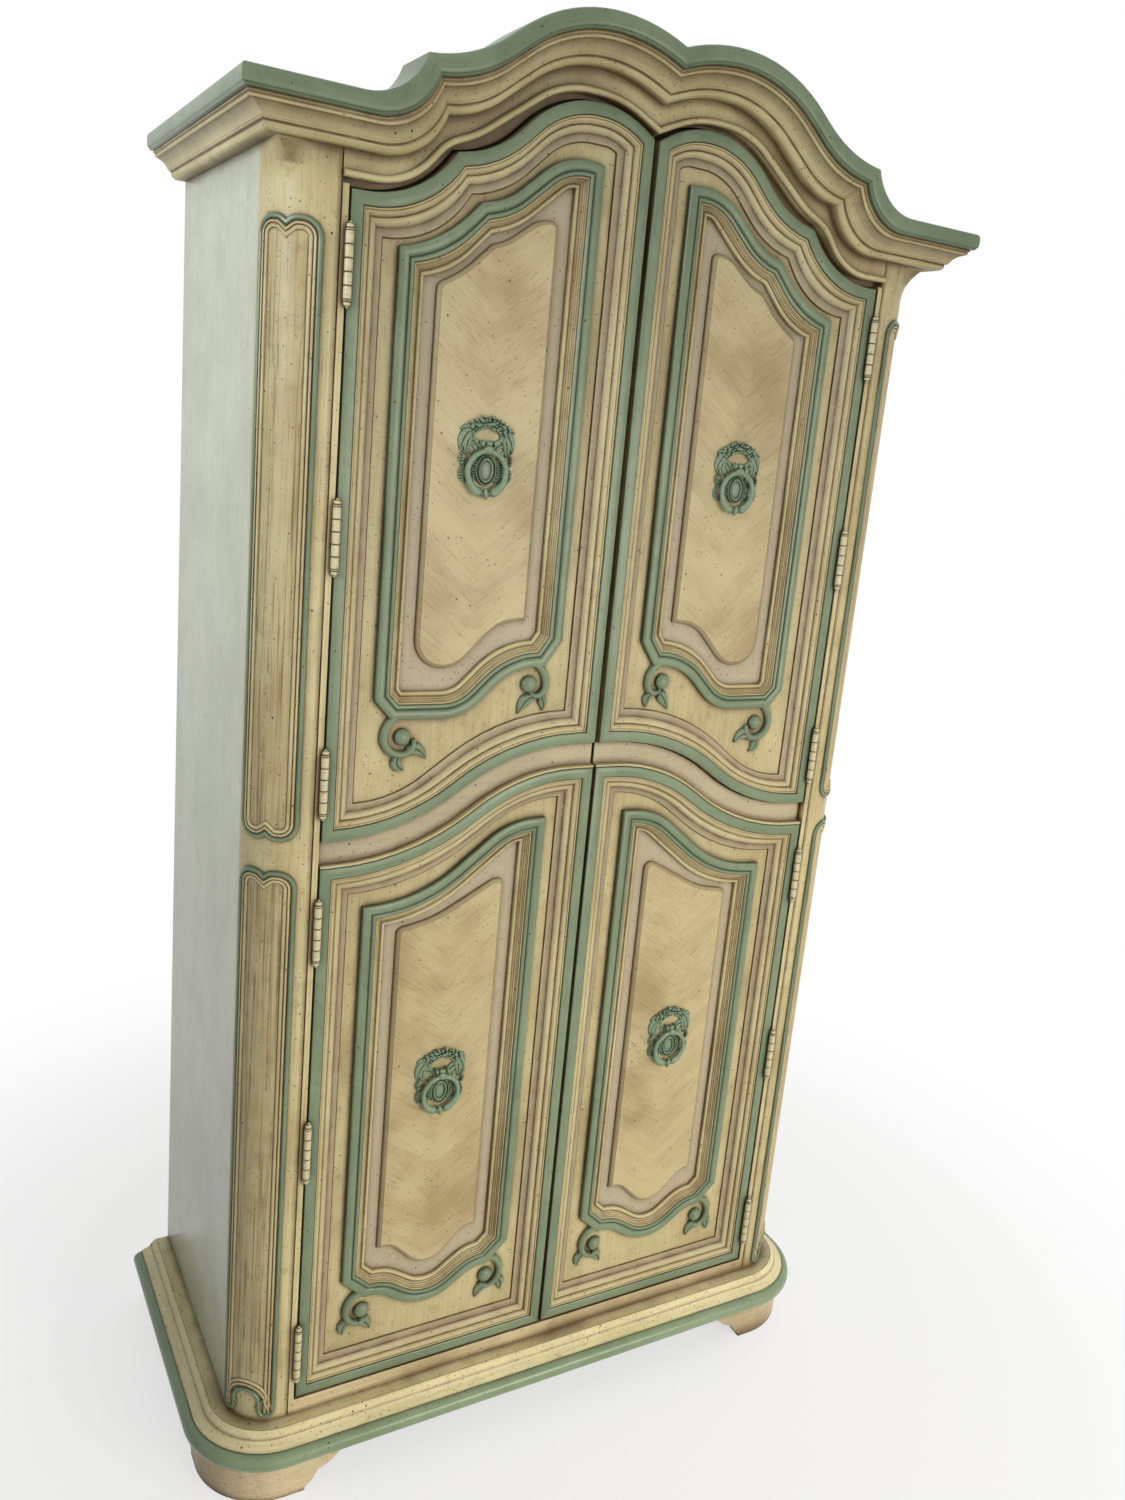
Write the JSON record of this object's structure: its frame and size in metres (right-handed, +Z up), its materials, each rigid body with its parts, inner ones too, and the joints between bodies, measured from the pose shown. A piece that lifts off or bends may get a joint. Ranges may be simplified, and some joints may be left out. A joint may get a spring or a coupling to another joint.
{
  "type": "television armoire",
  "caption": "Tall television armoire with rounded front corners, paired upper and lower camel-topped doors with raised panels, arched crown, ring pulls and bracket feet.",
  "frame": {"origin": "on the floor under the middle of the box that holds the piece", "axes": "+X to the right seen from the front, +Y from front to back, +Z up"},
  "size_m": [1.145, 0.557, 2.1395],
  "materials": {
    "painted_cream": "antiqued cream paint over wood with brown glaze in the recesses",
    "painted_green": "sage green paint over wood, worn at the arrises",
    "stained_inside": "brown stained wood, satin",
    "painted_hardware": "hinges painted with the case",
    "verdigris_metal": "cast metal painted sage green with dark glaze",
    "steel": "bare steel"
  },
  "bodies": {
    "cabinet": {"back_foot_left": "painted_cream", "back_foot_right": "painted_cream", "back_panels": "stained_inside", "base_moulding": "painted_cream", "base_nosing": "painted_green", "bottom_rail": "painted_cream", "crest_cap_front": "painted_green", "crest_cap_left": "painted_green", "crest_cap_right": "painted_green", "crown_front": "painted_cream", "crown_left": "painted_cream", "crown_right": "painted_cream", "door_magnets": "steel", "fixed_deck": "stained_inside", "floor_panel": "stained_inside", "frieze_board": "painted_cream", "front_foot_left": "painted_cream", "front_foot_right": "painted_cream", "head_rail": "painted_cream", "hinge_leaves_fixed": "painted_hardware", "hinge_pins": "painted_hardware", "hinge_post_left": "painted_cream", "hinge_post_right": "painted_cream", "lower_shelf": "stained_inside", "mid_rail": "painted_cream", "pilaster_left": "painted_cream", "pilaster_right": "painted_cream", "shelf_pins": "steel", "side_panel_left": "painted_cream", "side_panel_right": "painted_cream", "top_panel": "painted_cream", "upper_shelf": "stained_inside"},
    "upper_door_left": {"upper_door_left_frame": "painted_cream", "upper_door_left_hinge_leaves": "painted_hardware", "upper_door_left_moulding": "painted_green", "upper_door_left_panel": "painted_cream", "upper_door_left_pull_plate": "verdigris_metal", "upper_door_left_strike": "steel"},
    "upper_door_left_pull": {"upper_door_left_pull_ring": "verdigris_metal"},
    "upper_door_right": {"upper_door_right_frame": "painted_cream", "upper_door_right_hinge_leaves": "painted_hardware", "upper_door_right_moulding": "painted_green", "upper_door_right_panel": "painted_cream", "upper_door_right_pull_plate": "verdigris_metal", "upper_door_right_strike": "steel"},
    "upper_door_right_pull": {"upper_door_right_pull_ring": "verdigris_metal"},
    "lower_door_left": {"lower_door_left_frame": "painted_cream", "lower_door_left_hinge_leaves": "painted_hardware", "lower_door_left_moulding": "painted_green", "lower_door_left_panel": "painted_cream", "lower_door_left_pull_plate": "verdigris_metal", "lower_door_left_strike": "steel"},
    "lower_door_left_pull": {"lower_door_left_pull_ring": "verdigris_metal"},
    "lower_door_right": {"lower_door_right_frame": "painted_cream", "lower_door_right_hinge_leaves": "painted_hardware", "lower_door_right_moulding": "painted_green", "lower_door_right_panel": "painted_cream", "lower_door_right_pull_plate": "verdigris_metal", "lower_door_right_strike": "steel"},
    "lower_door_right_pull": {"lower_door_right_pull_ring": "verdigris_metal"}
  },
  "joints": [
    {"name": "upper_door_left_hinge", "type": "hinge", "parent": "cabinet", "child": "upper_door_left", "pos_m": [-0.423, -0.2247, 1.4623], "axis": [0, 0, -1], "range_deg": [0, 115]},
    {"name": "upper_door_left_pull_hinge", "type": "hinge", "parent": "upper_door_left", "child": "upper_door_left_pull", "pos_m": [-0.21075, -0.2085, 1.5945], "axis": [-1, 0, 0], "range_deg": [0, 80]},
    {"name": "upper_door_right_hinge", "type": "hinge", "parent": "cabinet", "child": "upper_door_right", "pos_m": [0.423, -0.2247, 1.4623], "axis": [0, 0, 1], "range_deg": [0, 115]},
    {"name": "upper_door_right_pull_hinge", "type": "hinge", "parent": "upper_door_right", "child": "upper_door_right_pull", "pos_m": [0.21075, -0.2085, 1.5945], "axis": [-1, 0, 0], "range_deg": [0, 80]},
    {"name": "lower_door_left_hinge", "type": "hinge", "parent": "cabinet", "child": "lower_door_left", "pos_m": [-0.423, -0.2247, 0.5913], "axis": [0, 0, -1], "range_deg": [0, 115]},
    {"name": "lower_door_left_pull_hinge", "type": "hinge", "parent": "lower_door_left", "child": "lower_door_left_pull", "pos_m": [-0.21075, -0.2085, 0.6505], "axis": [-1, 0, 0], "range_deg": [0, 80]},
    {"name": "lower_door_right_hinge", "type": "hinge", "parent": "cabinet", "child": "lower_door_right", "pos_m": [0.423, -0.2247, 0.5913], "axis": [0, 0, 1], "range_deg": [0, 115]},
    {"name": "lower_door_right_pull_hinge", "type": "hinge", "parent": "lower_door_right", "child": "lower_door_right_pull", "pos_m": [0.21075, -0.2085, 0.6505], "axis": [-1, 0, 0], "range_deg": [0, 80]}
  ]
}
